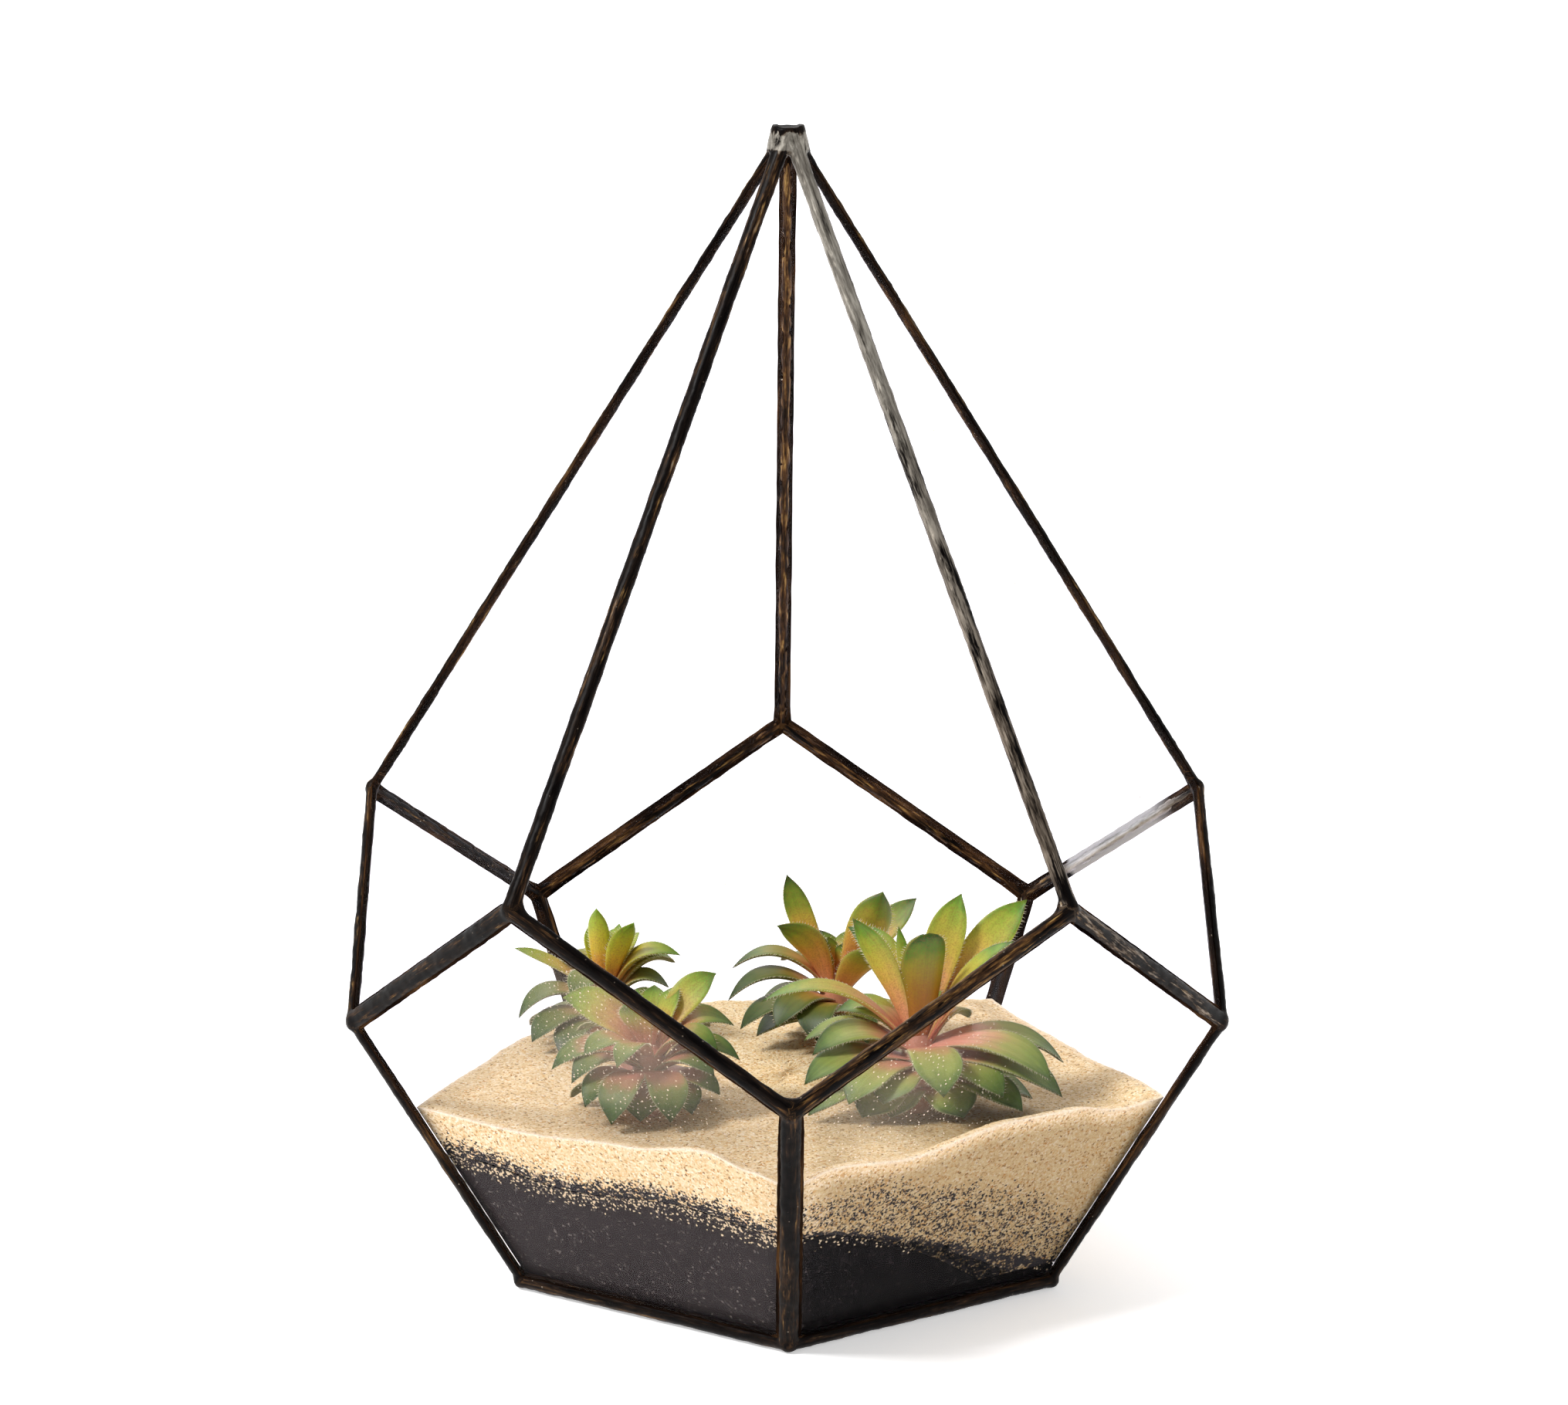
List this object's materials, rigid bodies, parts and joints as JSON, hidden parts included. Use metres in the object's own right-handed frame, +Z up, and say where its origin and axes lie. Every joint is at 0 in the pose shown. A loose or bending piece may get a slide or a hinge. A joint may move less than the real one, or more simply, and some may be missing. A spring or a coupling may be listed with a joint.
{
  "type": "glass plant terrarium",
  "caption": "Faceted glass terrarium with dark soldered seams and an open front, planted with rosette succulents in layered sand.",
  "frame": {"origin": "on the surface that it stands on, under the middle of the base", "axes": "+Z up towards the apex, -Y out of the open front, +X to the right when facing the opening"},
  "size_m": [0.2146, 0.2246, 0.2829],
  "materials": {
    "glass": "gloss",
    "solder": "satin",
    "black_sand": "matte",
    "beige_sand": "matte",
    "succulent": "satin"
  },
  "bodies": {
    "root": {"glass_base": "glass", "glass_side_0": "glass", "glass_side_1": "glass", "glass_side_2": "glass", "glass_side_3": "glass", "glass_side_4": "glass", "glass_kite_1": "glass", "glass_kite_2": "glass", "glass_kite_3": "glass", "glass_kite_4": "glass", "seam_base_0": "solder", "seam_riser_0": "solder", "seam_belt_right_0": "solder", "seam_belt_left_0": "solder", "seam_apex_0": "solder", "seam_base_1": "solder", "seam_riser_1": "solder", "seam_belt_right_1": "solder", "seam_belt_left_1": "solder", "seam_apex_1": "solder", "seam_base_2": "solder", "seam_riser_2": "solder", "seam_belt_right_2": "solder", "seam_belt_left_2": "solder", "seam_apex_2": "solder", "seam_base_3": "solder", "seam_riser_3": "solder", "seam_belt_right_3": "solder", "seam_belt_left_3": "solder", "seam_apex_3": "solder", "seam_base_4": "solder", "seam_riser_4": "solder", "seam_belt_right_4": "solder", "seam_belt_left_4": "solder", "seam_apex_4": "solder", "joint_foot_0": "solder", "joint_waist_0": "solder", "joint_shoulder_0": "solder", "joint_foot_1": "solder", "joint_waist_1": "solder", "joint_shoulder_1": "solder", "joint_foot_2": "solder", "joint_waist_2": "solder", "joint_shoulder_2": "solder", "joint_foot_3": "solder", "joint_waist_3": "solder", "joint_shoulder_3": "solder", "joint_foot_4": "solder", "joint_waist_4": "solder", "joint_shoulder_4": "solder", "joint_apex": "solder", "rosette_front_right": "succulent", "rosette_back_middle": "succulent", "rosette_back_left": "succulent", "rosette_front_left": "succulent", "sand_black": "black_sand", "sand_beige": "beige_sand"}
  },
  "joints": []
}
